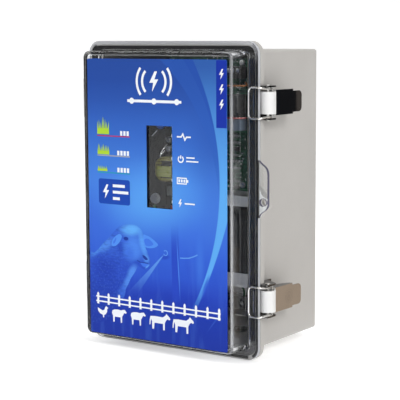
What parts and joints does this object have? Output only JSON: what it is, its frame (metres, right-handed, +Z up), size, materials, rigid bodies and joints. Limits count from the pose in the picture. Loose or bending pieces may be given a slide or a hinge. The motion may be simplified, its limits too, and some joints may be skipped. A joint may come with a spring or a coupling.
{
  "type": "fence energizer",
  "caption": "Wall-mounted electric fence energizer in a hinged grey box with a clear door, a printed label with a window, and two draw latches.",
  "frame": {"origin": "centre of the flat back face that goes against the wall", "axes": "+Z up, +Y out of the back towards the wall, so the door faces -Y, and +X to the right, the latch side"},
  "size_m": [0.2072, 0.1422, 0.28],
  "materials": {
    "case_grey": "moulded ABS, warm light grey, fine satin grain",
    "clear_cover": null,
    "black_rubber": "matte black foam or moulded rubber",
    "printed_label": "printed film, blue gradient with a farm picture",
    "stainless_steel": null,
    "zinc_plate": "bright zinc-plated steel",
    "white_sheet": "pale powder-coated sheet",
    "battery_black": "dark moulded battery case",
    "board_green": "green solder mask over glass-fibre board",
    "brass": "turned brass spacers",
    "ferrite": "dark grey ferrite",
    "yellow_tape": "yellow polyester tape over a winding",
    "black_plastic": "black moulded component bodies",
    "grey_blue_plastic": "grey-blue capacitor cases",
    "aluminium": "extruded or drawn aluminium",
    "lamp_lens": "diffused indicator lens on a pale spacer",
    "potting": "dark casting resin",
    "red_lead": "red wire insulation",
    "black_lead": "black wire insulation",
    "white_lead": "white high-voltage wire insulation",
    "green_lead": "green wire insulation"
  },
  "bodies": {
    "case": {"rear_case": "case_grey", "hinge_pin_upper": "stainless_steel", "hinge_pin_lower": "stainless_steel", "cable_grommet_1": "black_rubber", "cable_grommet_2": "black_rubber", "cable_grommet_3": "black_rubber", "latch_bracket_upper": "stainless_steel", "latch_pin_upper": "stainless_steel", "latch_rivet_upper_1": "stainless_steel", "latch_rivet_upper_2": "stainless_steel", "latch_bracket_lower": "stainless_steel", "latch_pin_lower": "stainless_steel", "latch_rivet_lower_1": "stainless_steel", "latch_rivet_lower_2": "stainless_steel", "mounting_plate": "zinc_plate", "plate_screw_1": "zinc_plate", "plate_screw_2": "zinc_plate", "plate_screw_3": "zinc_plate", "plate_screw_4": "zinc_plate", "inner_chassis": "white_sheet", "battery_tray": "white_sheet", "backup_battery": "battery_black", "main_board": "board_green", "board_standoff_1": "brass", "board_standoff_2": "brass", "board_standoff_3": "brass", "board_standoff_4": "brass", "board_screw_1": "zinc_plate", "board_screw_2": "zinc_plate", "board_screw_3": "zinc_plate", "board_screw_4": "zinc_plate", "charge_transformer_core": "ferrite", "charge_transformer_coil": "yellow_tape", "relay": "black_plastic", "box_capacitor": "grey_blue_plastic", "power_terminal": "black_plastic", "heat_sink": "aluminium", "switching_transistor": "black_plastic", "round_capacitor_1": "aluminium", "round_capacitor_2": "aluminium", "status_lamp_line": "lamp_lens", "status_lamp_power": "lamp_lens", "status_lamp_battery": "lamp_lens", "status_lamp_energy": "lamp_lens", "pulse_transformer": "potting", "output_stud_1": "zinc_plate", "output_stud_2": "zinc_plate", "storage_capacitor": "grey_blue_plastic", "output_terminal_block": "black_plastic", "battery_lead_red": "red_lead", "battery_lead_black": "black_lead", "fence_lead": "white_lead", "earth_lead": "green_lead"},
    "door": {"front_door": "clear_cover", "door_gasket": "black_rubber", "front_label": "printed_label"},
    "upper_lever": {"latch_lever_upper": "stainless_steel"},
    "upper_bail": {"latch_bail_upper": "stainless_steel"},
    "lower_lever": {"latch_lever_lower": "stainless_steel"},
    "lower_bail": {"latch_bail_lower": "stainless_steel"}
  },
  "joints": [
    {"name": "door_hinge", "type": "hinge", "parent": "case", "child": "door", "pos_m": [-0.0995, -0.1156, 0], "axis": [0, 0, -1], "range_deg": [0, 170]},
    {"name": "upper_lever_hinge", "type": "hinge", "parent": "case", "child": "upper_lever", "pos_m": [0.0966, -0.1081, 0.0868], "axis": [0, 0, -1], "range_deg": [0, 150]},
    {"name": "upper_bail_hinge", "type": "hinge", "parent": "upper_lever", "child": "upper_bail", "pos_m": [0.099, -0.1043, 0.0868], "axis": [0, 0, 1], "range_deg": [0, 210]},
    {"name": "lower_lever_hinge", "type": "hinge", "parent": "case", "child": "lower_lever", "pos_m": [0.0966, -0.1081, -0.0868], "axis": [0, 0, -1], "range_deg": [0, 150]},
    {"name": "lower_bail_hinge", "type": "hinge", "parent": "lower_lever", "child": "lower_bail", "pos_m": [0.099, -0.1043, -0.0868], "axis": [0, 0, 1], "range_deg": [0, 210]}
  ],
  "couplings": [
    {"joint": "upper_bail_hinge", "follows": "upper_lever_hinge", "ratio": 1.4},
    {"joint": "lower_bail_hinge", "follows": "lower_lever_hinge", "ratio": 1.4}
  ]
}
